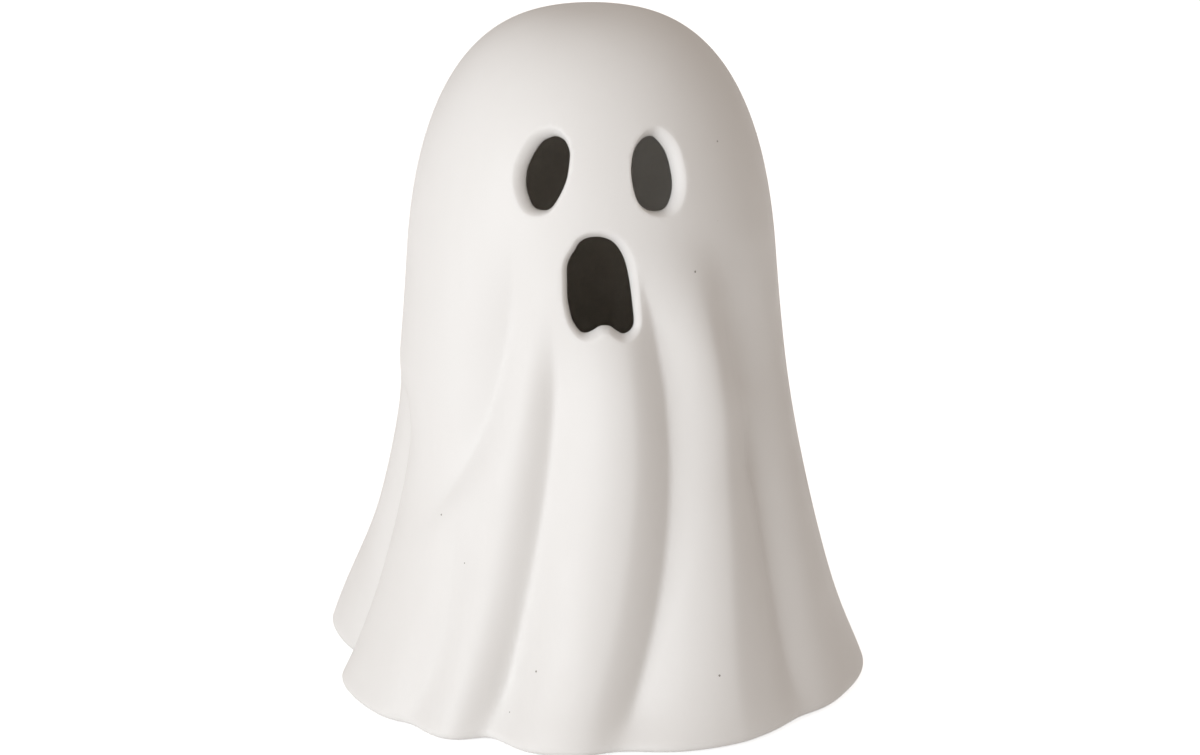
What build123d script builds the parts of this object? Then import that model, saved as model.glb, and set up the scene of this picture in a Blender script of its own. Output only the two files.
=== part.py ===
from build123d import *
import os
from math import acos, asin, atan2, cos, degrees, exp, hypot, pi, radians, sin

# Ceramic ghost lantern, hollow and pierced, with a battery light unit plugged into its base.
# Millimetres, +Z up, the face looks towards -Y, Z = 0 is the table under the felt pads.
# Azimuths are degrees about Z: 0 is the face, positive to the viewer's right.

# Ghost: head, skirt and wall
HEIGHT = 190.0
HEAD_R = 52.1
DOME_RISE = 98.0
DOME_POWER = 2.7
FACE_DROP = 48.0
FLARE = 23.3
FLARE_DROP = 68.0
FLARE_POWER = 1.75
LEAN = -1.5
WALL = 4.5
FLOOR = 7.0
HEM_ROUND = 3.0
CROWN_FLAT_R = 4.0
BASE_CHAMFER = 0.8

# Lobes of the hem: azimuth, reach, half width along the hem, height
LOBES = (
    (-119.5, 11.3, 16.0, 41.0),
    (83.0, 1.8, 17.5, 16.0),
    (147.5, 1.5, 18.0, 20.0),
)

# Folds: valley azimuths at the four stations, share of the skirt climbed, depth,
# half width on the left and on the right
FOLD_STATIONS = (0.0, 0.25, 0.53, 0.85)
CREASE_POWER = 1.75
FOLD_FADE = 3.7
FOLDS = (
    ((-93.5, -87.0, -78.5, -85.5), 0.76, 7.6, 11.0, 12.0),
    ((-54.0, -56.0, -42.5, -34.0), 0.98, 6.4, 10.0, 14.0),
    ((-28.5, -22.0, -16.0, -15.0), 0.86, 7.0, 8.0, 14.5),
    ((4.0, 14.5, 22.0, 16.0), 0.99, 7.3, 12.0, 11.0),
    ((52.0, 56.0, 59.0, 51.0), 1.0, 5.4, 16.5, 14.5),
    ((109.5, 105.0, 112.5, 102.0), 0.70, 5.0, 10.5, 9.0),
    ((143.5, 147.5, 147.5, 143.5), 0.93, 5.5, 10.0, 9.0),
    ((180.5, 175.5, 169.5, 171.5), 0.89, 6.0, 10.0, 10.0),
    ((214.5, 213.5, 218.5, 216.5), 0.94, 5.5, 10.0, 9.0),
)

# Skin resolution: points round a section, sections of the hem roll, the skirt and the dome
RING_POINTS = 96
HEM_STEPS = 4
SKIRT_STEPS = 11
SKIRT_SPACING = 1.35
DOME_STEPS = 7

# Face: outlines seen from in front (to the right, up), where each sits, and the softened rim
EYE_RIM = 2.2
MOUTH_RIM = 1.6
INNER_RIM = 0.8
LEFT_EYE_AZIMUTH = -17.7
LEFT_EYE_DROP = 36.2
LEFT_EYE = (
    (1.5, 10.2), (5.4, 6.6), (5.2, 0.4), (1.8, -7.6),
    (-2.2, -10.1), (-5.6, -6.2), (-5.9, 0.6), (-2.4, 7.7),
)
RIGHT_EYE_AZIMUTH = 18.0
RIGHT_EYE_DROP = 36.8
RIGHT_EYE = (
    (-0.9, 10.0), (2.6, 7.1), (5.3, -0.3), (5.3, -6.6),
    (2.2, -10.4), (-3.0, -8.8), (-5.8, 0.0), (-4.2, 7.4),
)
MOUTH_AZIMUTH = -0.3
MOUTH_DROP = 65.2
MOUTH = (
    (-1.6, 13.3), (4.0, 11.0), (6.8, 4.5), (8.3, -5.8), (8.2, -12.0), (5.4, -13.2),
    (1.2, -11.3), (-2.6, -12.9), (-5.4, -12.8), (-7.9, -6.0), (-8.5, 4.4), (-6.0, 11.0),
)

# Felt pads under the floor
PAD_R = 5.0
PAD_T = 1.0
PAD_COUNT = 4
PAD_MARGIN = 7.0

# Light unit: cup, flange and the soft ring that grips the bore of the ghost
CUP_R = 34.0
CUP_WALL = 1.6
CUP_TOP = 24.0
FLANGE_R = 42.0
FLANGE_T = 2.0
FLANGE_SET = 1.2
FLANGE_EDGE = 0.6
RECESS_GAP = 1.5
PLATE_T = 3.8
GRIP_T = 2.7
GRIP_H = 2.6
GRIP_GROOVE = 0.6
GRIP_LIFT = 0.7
GRIP_FIT = 0.08
GRIP_EDGE = 0.7

# Cells and their bay
CELL_D = 10.5
CELL_L = 44.5
CELL_EDGE = 0.5
NUB_D = 3.8
NUB_L = 1.2
CELL_GAP = 0.5
CONTACT_ROOM = 2.75
BAY_WALL = 1.2
BAY_Y = -4.0

# Battery door on two stub pins
DOOR_T = 2.0
DOOR_LEDGE = 1.3
DOOR_GAP = 0.3
PIN_R = 0.6
PIN_L = 1.5
PIN_FIT = 0.06
PIN_END_GAP = 0.3
NOTCH_R = 6.0
GRIP_LINES = 5
GRIP_LINE_W = 0.8
GRIP_LINE_DEPTH = 0.5
GRIP_LINE_STEP = 2.0
GRIP_LINE_MARGIN = 3.0

# Contacts
STRIP_T = 0.4
PLATE_H = 8.4
PLATE_W = 8.0
TAIL_W = 2.4
TAIL_OUT = 0.5
TAIL_GAP = 0.3
BUTTON_FOOT_R = 3.0
BUTTON_TIP_R = 1.6
LEAF_W = 5.0
LEAF_HALF = 3.6

# Circuit board and what is on it
BOARD_R = 27.0
BOARD_T = 1.2
BOARD_LIFT = 1.0
BOARD_NOTCH_GAP = 0.6
BOSS_R = 2.5
BOSSES = ((-16.5, 14.5), (16.5, 14.5), (0.0, -20.5))
PILOT_R = 0.9
SCREW_R = 0.85
SCREW_L = 6.0
SCREW_HEAD_R = 1.9
SCREW_HEAD_T = 1.4
SCREW_SLOT_W = 0.6
SCREW_SLOT_DEPTH = 0.6
CHIP_AT = (10.0, -8.0)
CHIP_L = 5.0
CHIP_W = 4.0
CHIP_T = 1.5
CHIP_LIFT = 0.2
CHIP_LEGS = 4
CHIP_LEG_STEP = 1.27
CHIP_LEG_W = 0.42
CHIP_LEG_OUT = 1.0
CAN_AT = (-18.5, -7.0)
CAN_R = 2.0
CAN_H = 4.0
CAN_EDGE = 0.3
RESISTORS = ((-9.0, 6.0), (9.0, 6.0))
RESISTOR_L = 3.2
RESISTOR_W = 1.6
RESISTOR_T = 0.6
LED_R = 2.5
LED_H = 8.6
LED_COLLAR_R = 2.95
LED_COLLAR_T = 1.0
LED_LIFT = 3.0
LEAD_W = 0.5
LEAD_STEP = 2.54

# Top cover and frosted dome
COVER_T = 1.8
SPIGOT_T = 1.0
SPIGOT_H = 2.0
SPIGOT_GAP = 0.2
POST_R = 2.75
POST_Y = 28.0
COVER_EDGE = 0.8
DOME_R = 13.0
DOME_WALL = 1.2
DOME_SIDE = 9.0
DOME_FLANGE = 2.5
DOME_FLANGE_T = 1.2
DOME_GAP = 0.2

# Three-place slide switch
SWITCH_AT = (0.0, 16.0)
SWITCH_L = 8.6
SWITCH_W = 3.7
SWITCH_H = 3.6
SWITCH_TRAVEL = 2.0
KNOB_L = 4.4
KNOB_W = 5.2
KNOB_T = 1.3
STEM_L = 2.0
STEM_W = 2.2
STEM_IN = 1.0
KNOB_GAP = 0.3
KNOB_EDGE = 0.4
WIRE_R = 0.5
WIRE_STEP = 2.5
WIRE_COUNT = 3

UPWARD = (Align.CENTER, Align.CENTER, Align.MIN)
FROM_CORNER = (Align.MIN, Align.MIN, Align.MIN)

# Heights worked out from the sizes above
HEM_Z = PAD_T
FLOOR_TOP = HEM_Z + FLOOR
SKIRT_H = HEIGHT - FACE_DROP
FLANGE_Z = HEM_Z + FLANGE_SET
FLANGE_TOP = FLANGE_Z + FLANGE_T
PLATE_TOP = FLANGE_Z + PLATE_T
DOOR_TOP = FLANGE_Z + DOOR_T
RECESS_TOP = DOOR_TOP + DOOR_GAP
CELL_Z = RECESS_TOP + CELL_D / 2
BAY_TOP = CELL_Z + CELL_D / 2 + CELL_GAP
ROOF_TOP = BAY_TOP + BAY_WALL
BOARD_Z = ROOF_TOP + BOARD_LIFT
BOARD_TOP = BOARD_Z + BOARD_T
LED_Z = BOARD_TOP + LED_LIFT
COVER_TOP = CUP_TOP + COVER_T

# Plan sizes worked out from the sizes above
CUP_INNER_R = CUP_R - CUP_WALL
GROOVE_R = CUP_R - GRIP_GROOVE
GRIP_R = GROOVE_R + GRIP_T
BORE_R = GRIP_R + GRIP_FIT
RECESS_R = FLANGE_R + RECESS_GAP
PAD_ORBIT = RECESS_R + PAD_MARGIN + PAD_R
BAY_L = CELL_L + 2 * CONTACT_ROOM
BAY_W = 2 * CELL_D + 3 * CELL_GAP
CELL_Y = (CELL_D + CELL_GAP) / 2
DOOR_HALF_W = BAY_W / 2 + DOOR_LEDGE - DOOR_GAP
DOOR_END = BAY_L / 2 + DOOR_LEDGE - DOOR_GAP
HINGE_X = -BAY_L / 2 - DOOR_LEDGE
HINGE_Z = FLANGE_Z + DOOR_T / 2


# Ghost skin

def ease(share):
    share = min(max(share, 0.0), 1.0)
    return share * share * (3 - 2 * share)


def valley_azimuth(azimuths, height):
    """Cubic through the four stations of a fold."""
    share = min(height / SKIRT_H, 1.0)
    total = 0.0
    for i, azimuth in enumerate(azimuths):
        weight = 1.0
        for j, station in enumerate(FOLD_STATIONS):
            if j != i:
                weight *= (share - station) / (FOLD_STATIONS[i] - station)
        total += azimuth * weight
    return total


def turn(azimuth, other):
    return (azimuth - other + 180.0) % 360.0 - 180.0


def round_radius(height, inset):
    """Radius of the ghost before folds: a squarish dome that flares into a skirt."""
    rise = DOME_RISE - inset
    up = min(max((height - HEIGHT + DOME_RISE) / rise, 0.0), 1.0)
    dome = (HEAD_R - inset) * (1 - up ** DOME_POWER) ** (1 / DOME_POWER)
    drop = max(1 - height / (HEIGHT - FLARE_DROP), 0.0)
    return dome + FLARE * drop ** FLARE_POWER


def skin_radius(azimuth, height, inset):
    """Radius of the skin, or of the cavity wall when inset by the wall."""
    plain = round_radius(height, inset)
    radius = plain
    for lobe_azimuth, reach, half_width, lobe_height in LOBES:
        arc = radians(turn(azimuth, lobe_azimuth)) * plain
        radius += reach * exp(-(arc / half_width) ** 2 - (height / lobe_height) ** 2)
    for azimuths, climb, depth, left, right in FOLDS:
        top = climb * SKIRT_H
        share = max((top - height) / top, 0.0)
        arc = radians(turn(azimuth, valley_azimuth(azimuths, height))) * plain
        half_width = left if arc < 0 else right
        radius -= depth * ease(share * FOLD_FADE) * exp(-abs(arc / half_width) ** CREASE_POWER)
    return radius


def lean(height):
    return LEAN * ease(height / SKIRT_H)


def skin_section(height, inset=0.0, draw_in=0.0):
    points = []
    for step in range(RING_POINTS):
        azimuth = 180.0 + 360.0 * step / RING_POINTS
        radius = skin_radius(azimuth, height, inset) - draw_in
        x = lean(height) + radius * sin(radians(azimuth))
        y = -radius * cos(radians(azimuth))
        points.append(Vector(x, y, HEM_Z + height))
    return Wire([Edge.make_spline(points, periodic=True)])


def skirt_heights(first):
    return [first + (SKIRT_H - first) * (i / SKIRT_STEPS) ** SKIRT_SPACING for i in range(SKIRT_STEPS)]


def dome_heights(inset):
    """Heights up the dome at even steps of its own angle, up to the small crown disc."""
    rise = DOME_RISE - inset
    foot = HEIGHT - DOME_RISE
    low = asin(((SKIRT_H - foot) / rise) ** (DOME_POWER / 2))
    high = acos((CROWN_FLAT_R / (HEAD_R - inset)) ** (DOME_POWER / 2))
    angles = [low + (high - low) * i / (DOME_STEPS - 1) for i in range(DOME_STEPS)]
    return [foot + rise * sin(angle) ** (2 / DOME_POWER) for angle in angles]


def ghost_outside():
    sections = []
    for step in range(HEM_STEPS):
        angle = pi / 2 * step / HEM_STEPS
        sections.append(skin_section(HEM_ROUND * (1 - cos(angle)), draw_in=HEM_ROUND * (1 - sin(angle))))
    for height in skirt_heights(HEM_ROUND) + dome_heights(0.0):
        sections.append(skin_section(height))
    return Solid.make_loft(sections)


def ghost_cavity():
    heights = skirt_heights(FLOOR) + dome_heights(WALL)
    return Solid.make_loft([skin_section(height, inset=WALL) for height in heights])


def face_cutter(outline, azimuth, drop):
    """Prism of an eye or the mouth, cut square to the skin from the axis outwards."""
    angle = radians(azimuth)
    outward = Vector(sin(angle), -cos(angle), 0)
    across = Vector(cos(angle), sin(angle), 0)
    centre = Vector(LEAN, 0, HEM_Z + HEIGHT - drop)
    plane = Plane(origin=centre, x_dir=across, z_dir=outward)
    edge = Edge.make_spline([plane.from_local_coords(Vector(*point)) for point in outline], periodic=True)
    return Solid.extrude(Face(Wire([edge])), outward * (HEAD_R + FLARE))


def face_rims(shell, inset, drops):
    """Edges of the openings at these drops, on the skin, or on the cavity when inset by the wall."""
    rims = []
    for edge in shell.edges():
        point = edge @ 0
        azimuth = degrees(atan2(point.X - LEAN, -point.Y))
        off_skin = hypot(point.X - LEAN, point.Y) - skin_radius(azimuth, point.Z - HEM_Z, inset)
        box = edge.bounding_box()
        across = [box.min.Z < HEM_Z + HEIGHT - drop < box.max.Z for drop in drops]
        if any(across) and edge.is_closed and abs(off_skin) < WALL / 4:
            rims.append(edge)
    return rims


def ceramic_shell():
    cavity = ghost_cavity()
    bore = disc(BORE_R, HEM_Z, FLOOR_TOP)
    recess = disc(RECESS_R, HEM_Z, FLANGE_TOP)
    lead_in = Pos(Z=HEM_Z) * Cone(RECESS_R + BASE_CHAMFER, RECESS_R, BASE_CHAMFER, align=UPWARD)
    left_eye = face_cutter(LEFT_EYE, LEFT_EYE_AZIMUTH, LEFT_EYE_DROP)
    right_eye = face_cutter(RIGHT_EYE, RIGHT_EYE_AZIMUTH, RIGHT_EYE_DROP)
    mouth = face_cutter(MOUTH, MOUTH_AZIMUTH, MOUTH_DROP)
    shell = ghost_outside().cut(cavity, bore, recess, lead_in.solid(), left_eye, right_eye, mouth)
    eye_drops = (LEFT_EYE_DROP, RIGHT_EYE_DROP)
    shell = shell.fillet(min(EYE_RIM, WALL / 2), face_rims(shell, 0.0, eye_drops))
    shell = shell.fillet(min(MOUTH_RIM, WALL / 2), face_rims(shell, 0.0, [MOUTH_DROP]))
    return shell.fillet(min(INNER_RIM, WALL / 4), face_rims(shell, WALL, (*eye_drops, MOUTH_DROP))).solid()


# Pieces of the base and the light unit

def disc(radius, low, high, at=(0.0, 0.0)):
    return (Pos(at[0], at[1], low) * Cylinder(radius, high - low, align=UPWARD)).solid()


def block(x_range, y_range, z_range):
    size = [high - low for low, high in (x_range, y_range, z_range)]
    return (Pos(x_range[0], y_range[0], z_range[0]) * Box(*size, align=FROM_CORNER)).solid()


def turned(profile):
    """Solid turned about Z from points of radius and height."""
    face = Plane.XZ * make_face(Polyline(*profile, close=True))
    return revolve(face, axis=Axis.Z).solid()


def spread(count, step):
    """Places along a row, centred on zero."""
    return [(i - (count - 1) / 2) * step for i in range(count)]


def foot_pad(index):
    angle = radians(45.0 + 360.0 * index / PAD_COUNT)
    return disc(PAD_R, 0.0, PAD_T, at=(PAD_ORBIT * sin(angle), -PAD_ORBIT * cos(angle)))


def grip_ring():
    low = FLANGE_TOP + GRIP_LIFT
    ring = disc(GRIP_R, low, low + GRIP_H) - disc(GROOVE_R, low, low + GRIP_H)
    circles = ring.edges().filter_by(GeomType.CIRCLE)
    outer = [edge for edge in circles if abs(edge.radius - GRIP_R) < GRIP_FIT]
    return ring.solid().fillet(GRIP_EDGE, outer)


def light_housing():
    groove_low = FLANGE_TOP + GRIP_LIFT
    cup = turned((
        (0, FLANGE_Z), (FLANGE_R, FLANGE_Z), (FLANGE_R, FLANGE_TOP), (CUP_R, FLANGE_TOP),
        (CUP_R, groove_low), (GROOVE_R, groove_low),
        (GROOVE_R, groove_low + GRIP_H), (CUP_R, groove_low + GRIP_H),
        (CUP_R, CUP_TOP), (CUP_INNER_R, CUP_TOP), (CUP_INNER_R, PLATE_TOP), (0, PLATE_TOP),
    ))
    rim = [edge for edge in cup.edges() if abs(edge.bounding_box().max.X - FLANGE_R) < FLANGE_EDGE / 2]
    cup = cup.fillet(FLANGE_EDGE, [edge for edge in rim if edge.is_closed])
    half_l = BAY_L / 2 + BAY_WALL
    half_w = BAY_W / 2 + BAY_WALL
    adds = [block((-half_l, half_l), (BAY_Y - half_w, BAY_Y + half_w), (FLANGE_Z, ROOF_TOP))]
    adds += [disc(BOSS_R, FLANGE_Z + DOOR_T, BOARD_Z, at=boss) for boss in BOSSES]
    adds += [disc(POST_R, FLANGE_Z + DOOR_T, CUP_TOP, at=post) for post in cover_posts()]
    body = cup.fuse(*adds)
    cuts = [bay_space(), door_recess()]
    cuts += [hinge_hole(side) for side in (-1, 1)]
    cuts += [disc(PILOT_R, PLATE_TOP, BOARD_Z, at=boss) for boss in BOSSES]
    cuts += [disc(PILOT_R, PLATE_TOP, CUP_TOP, at=post) for post in cover_posts()]
    cuts += [tail_slot(y, TAIL_GAP, BAY_TOP, ROOF_TOP) for y in (CELL_Y, -CELL_Y)]
    cuts += [finger_notch(), *switch_cuts()]
    return body.cut(*cuts).solid()


def cover_posts():
    return ((0.0, POST_Y), (0.0, -POST_Y))


def bay_space():
    half_l, half_w = BAY_L / 2, BAY_W / 2
    return block((-half_l, half_l), (BAY_Y - half_w, BAY_Y + half_w), (FLANGE_Z, BAY_TOP))


def door_recess():
    half_w = DOOR_HALF_W + DOOR_GAP
    low_x = HINGE_X - DOOR_T / 2 - DOOR_GAP
    return block((low_x, DOOR_END + DOOR_GAP), (BAY_Y - half_w, BAY_Y + half_w), (FLANGE_Z, RECESS_TOP))


def hinge_rod(radius, length):
    """Rod along Y, centred on the hinge axis."""
    return (Pos(HINGE_X, BAY_Y, HINGE_Z) * Rot(X=90) * Cylinder(radius, length)).solid()


def hinge_hole(side):
    depth = DOOR_GAP + PIN_L + PIN_END_GAP
    middle = BAY_Y + side * (DOOR_HALF_W + depth / 2)
    return (Pos(HINGE_X, middle, HINGE_Z) * Rot(X=90) * Cylinder(PIN_R + PIN_FIT, depth)).solid()


def finger_notch():
    return disc(NOTCH_R, FLANGE_Z, DOOR_TOP - STRIP_T, at=(DOOR_END + DOOR_GAP, BAY_Y))


def switch_cuts():
    x, y = SWITCH_AT
    pocket_l = KNOB_L / 2 + SWITCH_TRAVEL + KNOB_GAP
    pocket_w = KNOB_W / 2 + KNOB_GAP
    slot_l = STEM_L / 2 + SWITCH_TRAVEL + KNOB_GAP
    slot_w = STEM_W / 2 + KNOB_GAP
    pocket = block((x - pocket_l, x + pocket_l), (y - pocket_w, y + pocket_w), (FLANGE_Z, RECESS_TOP))
    slot = block((x - slot_l, x + slot_l), (y - slot_w, y + slot_w), (FLANGE_Z, PLATE_TOP))
    return pocket, slot


def battery_door():
    y_range = (BAY_Y - DOOR_HALF_W, BAY_Y + DOOR_HALF_W)
    plate = block((HINGE_X, DOOR_END), y_range, (FLANGE_Z, DOOR_TOP))
    barrel = hinge_rod(DOOR_T / 2, 2 * DOOR_HALF_W)
    pins = hinge_rod(PIN_R, 2 * (DOOR_HALF_W + DOOR_GAP + PIN_L))
    grooves = []
    for offset in spread(GRIP_LINES, GRIP_LINE_STEP):
        middle = DOOR_END - GRIP_LINE_MARGIN - GRIP_LINES * GRIP_LINE_STEP / 2 + offset
        x_range = (middle - GRIP_LINE_W / 2, middle + GRIP_LINE_W / 2)
        y_half = DOOR_HALF_W - GRIP_LINE_MARGIN
        y_range = (BAY_Y - y_half, BAY_Y + y_half)
        grooves.append(block(x_range, y_range, (FLANGE_Z, FLANGE_Z + GRIP_LINE_DEPTH)))
    return plate.fuse(barrel, pins).cut(*grooves).solid()


def battery(facing, y):
    """Cell lying along X with its button end towards facing."""
    half = CELL_L / 2
    can = turned((
        (0, -half), (CELL_D / 2 - CELL_EDGE, -half), (CELL_D / 2, -half + CELL_EDGE),
        (CELL_D / 2, half - NUB_L - CELL_EDGE), (CELL_D / 2 - CELL_EDGE, half - NUB_L),
        (NUB_D / 2, half - NUB_L), (NUB_D / 2, half), (0, half),
    ))
    return (Pos(0, BAY_Y + y, CELL_Z) * Rot(Y=90 * facing) * can).solid()


def contact_plate(side, y_range):
    """Flat strip against an end wall of the bay, side -1 or 1 along X."""
    wall_x = side * BAY_L / 2
    x_range = sorted((wall_x, wall_x - side * STRIP_T))
    return block(x_range, y_range, (CELL_Z - PLATE_H / 2, CELL_Z + PLATE_H / 2))


def contact_button(side, y):
    """Pressed stud that meets the button of a cell."""
    foot = BAY_L / 2 - STRIP_T
    height = foot - CELL_L / 2
    stud = Cone(BUTTON_FOOT_R, BUTTON_TIP_R, height, align=UPWARD)
    return (Pos(side * foot, BAY_Y + y, CELL_Z) * Rot(Y=-90 * side) * stud).solid()


def contact_leaf(side, y):
    """Bowed spring strip that meets the flat end of a cell."""
    foot = side * (BAY_L / 2 - STRIP_T)
    peak = side * CELL_L / 2
    outer = ThreePointArc((foot, -LEAF_HALF), (peak, 0), (foot, LEAF_HALF))
    inner_half = LEAF_HALF - STRIP_T
    inner = ThreePointArc((foot, inner_half), (peak + side * STRIP_T, 0), (foot, -inner_half))
    joins = [Line((foot, LEAF_HALF), (foot, inner_half)), Line((foot, -inner_half), (foot, -LEAF_HALF))]
    face = make_face(Curve([outer, inner, *joins]))
    strip = extrude(Plane.XZ * face, amount=LEAF_W / 2, both=True)
    return (Pos(0, BAY_Y + y, CELL_Z) * strip).solid()


def tail_slot(y, gap, low, high):
    """Way up for a contact's tail at the left end of the bay, or the tail itself when the gap is zero."""
    wall_x = -BAY_L / 2
    y_range = (BAY_Y + y - TAIL_W / 2 - gap, BAY_Y + y + TAIL_W / 2 + gap)
    return block((wall_x, wall_x + STRIP_T + gap), y_range, (low, high))


def contact_tail(y):
    return tail_slot(y, 0.0, CELL_Z, BOARD_TOP + TAIL_OUT)


def plate_span(y):
    return (BAY_Y + y - PLATE_W / 2, BAY_Y + y + PLATE_W / 2)


def positive_contact():
    plate = contact_plate(-1, plate_span(CELL_Y))
    return plate.fuse(contact_button(-1, CELL_Y), contact_tail(CELL_Y)).solid()


def negative_contact():
    plate = contact_plate(-1, plate_span(-CELL_Y))
    return plate.fuse(contact_leaf(-1, -CELL_Y), contact_tail(-CELL_Y)).solid()


def bridge_contact():
    y_range = (plate_span(-CELL_Y)[0], plate_span(CELL_Y)[1])
    return contact_plate(1, y_range).fuse(contact_button(1, -CELL_Y), contact_leaf(1, CELL_Y)).solid()


def circuit_board():
    board = disc(BOARD_R, BOARD_Z, BOARD_TOP)
    cuts = [disc(POST_R + BOARD_NOTCH_GAP, BOARD_Z, BOARD_TOP, at=post) for post in cover_posts()]
    cuts += [disc(PILOT_R, BOARD_Z, BOARD_TOP, at=boss) for boss in BOSSES]
    cuts += [tail_slot(y, TAIL_GAP, BOARD_Z, BOARD_TOP) for y in (CELL_Y, -CELL_Y)]
    return board.cut(*cuts).solid()


def screw(at, seat):
    """Slotted pan-head screw whose head sits on the seat height."""
    head = disc(SCREW_HEAD_R, seat, seat + SCREW_HEAD_T, at=at)
    shank = disc(SCREW_R, seat - SCREW_L, seat, at=at)
    slot_low = seat + SCREW_HEAD_T - SCREW_SLOT_DEPTH
    slot = block(
        (at[0] - SCREW_HEAD_R, at[0] + SCREW_HEAD_R),
        (at[1] - SCREW_SLOT_W / 2, at[1] + SCREW_SLOT_W / 2),
        (slot_low, seat + SCREW_HEAD_T),
    )
    return head.fuse(shank).cut(slot).solid()


def timer_chip():
    x, y = CHIP_AT
    low = BOARD_TOP + CHIP_LIFT
    body = block((x - CHIP_L / 2, x + CHIP_L / 2), (y - CHIP_W / 2, y + CHIP_W / 2), (low, low + CHIP_T))
    reach = CHIP_W / 2 + CHIP_LEG_OUT
    legs = []
    for offset in spread(CHIP_LEGS, CHIP_LEG_STEP):
        x_range = (x + offset - CHIP_LEG_W / 2, x + offset + CHIP_LEG_W / 2)
        legs.append(block(x_range, (y - reach, y + reach), (BOARD_TOP, low + CHIP_T / 2)))
    return body.fuse(*legs).solid()


def capacitor():
    can = disc(CAN_R, BOARD_TOP, BOARD_TOP + CAN_H, at=CAN_AT)
    return can.fillet(CAN_EDGE, can.edges().filter_by(GeomType.CIRCLE).sort_by(Axis.Z)[-1:])


def resistor(at):
    x_range = (at[0] - RESISTOR_L / 2, at[0] + RESISTOR_L / 2)
    y_range = (at[1] - RESISTOR_W / 2, at[1] + RESISTOR_W / 2)
    return block(x_range, y_range, (BOARD_TOP, BOARD_TOP + RESISTOR_T))


def led_lens():
    collar = disc(LED_COLLAR_R, LED_Z, LED_Z + LED_COLLAR_T)
    side = disc(LED_R, LED_Z, LED_Z + LED_H - LED_R)
    tip = (Pos(Z=LED_Z + LED_H - LED_R) * Sphere(LED_R)).solid()
    return collar.fuse(side, tip).solid()


def led_lead(x):
    half = LEAD_W / 2
    return block((x - half, x + half), (-half, half), (BOARD_TOP, LED_Z))


def top_cover():
    spigot_r = CUP_INNER_R - SPIGOT_GAP
    plate = disc(CUP_R, CUP_TOP, COVER_TOP)
    plate = plate.fillet(COVER_EDGE, plate.edges().filter_by(GeomType.CIRCLE).sort_by(Axis.Z)[-1:])
    low = CUP_TOP - SPIGOT_H
    spigot = disc(spigot_r, low, CUP_TOP) - disc(spigot_r - SPIGOT_T, low, CUP_TOP)
    cuts = [disc(DOME_R + DOME_GAP, CUP_TOP, COVER_TOP)]
    cuts += [disc(PILOT_R, CUP_TOP, COVER_TOP, at=post) for post in cover_posts()]
    return plate.fuse(spigot.solid()).cut(*cuts).solid()


def diffuser_dome():
    """Frosted dome held by its flange under the cover."""
    low = CUP_TOP - DOME_FLANGE_T
    spring = COVER_TOP + DOME_SIDE
    inner_r = DOME_R - DOME_WALL
    flange_r = DOME_R + DOME_FLANGE
    side = Polyline(
        (inner_r, spring), (inner_r, low), (flange_r, low),
        (flange_r, CUP_TOP), (DOME_R, CUP_TOP), (DOME_R, spring),
    )
    outer = CenterArc((0, spring), DOME_R, 0, 90)
    crown = Line((0, spring + DOME_R), (0, spring + inner_r))
    inner = CenterArc((0, spring), inner_r, 0, 90)
    face = Plane.XZ * make_face(Curve([side, outer, crown, inner]))
    return revolve(face, axis=Axis.Z).solid()


def switch_body():
    x, y = SWITCH_AT
    case = block(
        (x - SWITCH_L / 2, x + SWITCH_L / 2),
        (y - SWITCH_W / 2, y + SWITCH_W / 2),
        (PLATE_TOP, PLATE_TOP + SWITCH_H),
    )
    slot_l = STEM_L / 2 + SWITCH_TRAVEL + KNOB_GAP
    slot_w = STEM_W / 2 + KNOB_GAP
    slot_top = PLATE_TOP + STEM_IN + KNOB_GAP
    slot = block((x - slot_l, x + slot_l), (y - slot_w, y + slot_w), (PLATE_TOP, slot_top))
    return case.cut(slot).solid()


def switch_knob():
    x, y = SWITCH_AT
    top = RECESS_TOP - KNOB_GAP
    cap = block((x - KNOB_L / 2, x + KNOB_L / 2), (y - KNOB_W / 2, y + KNOB_W / 2), (top - KNOB_T, top))
    cap = cap.fillet(KNOB_EDGE, cap.edges().group_by(Axis.Z)[0])
    stem = block(
        (x - STEM_L / 2, x + STEM_L / 2), (y - STEM_W / 2, y + STEM_W / 2), (top, PLATE_TOP + STEM_IN)
    )
    return cap.fuse(stem).solid()


def switch_lead(offset):
    x, y = SWITCH_AT
    return disc(WIRE_R, PLATE_TOP + SWITCH_H, BOARD_Z, at=(x + offset, y))


def build_parts():
    parts = {
        "ceramic_shell": ceramic_shell(),
        "grip_ring": grip_ring(),
        "light_housing": light_housing(),
        "battery_door": battery_door(),
        "battery_1": battery(-1, CELL_Y),
        "battery_2": battery(1, -CELL_Y),
        "positive_contact": positive_contact(),
        "negative_contact": negative_contact(),
        "bridge_contact": bridge_contact(),
        "circuit_board": circuit_board(),
        "board_screws": Compound(children=[screw(boss, BOARD_TOP) for boss in BOSSES]),
        "timer_chip": timer_chip(),
        "capacitor": capacitor(),
        "resistors": Compound(children=[resistor(at) for at in RESISTORS]),
        "led_lens": led_lens(),
        "led_leads": Compound(children=[led_lead(x) for x in spread(2, LEAD_STEP)]),
        "top_cover": top_cover(),
        "cover_screws": Compound(children=[screw(post, COVER_TOP) for post in cover_posts()]),
        "diffuser_dome": diffuser_dome(),
        "switch_body": switch_body(),
        "switch_knob": switch_knob(),
        "switch_leads": Compound(children=[switch_lead(offset) for offset in spread(WIRE_COUNT, WIRE_STEP)]),
    }
    for index in range(PAD_COUNT):
        parts[f"foot_pad_{index + 1}"] = foot_pad(index)
    return parts


os.makedirs("parts", exist_ok=True)
for name, piece in build_parts().items():
    export_step(piece, f"parts/{name}.step")
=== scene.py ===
"""Looks of the ceramic ghost lantern: fired shell, base fittings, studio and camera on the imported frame."""

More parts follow.
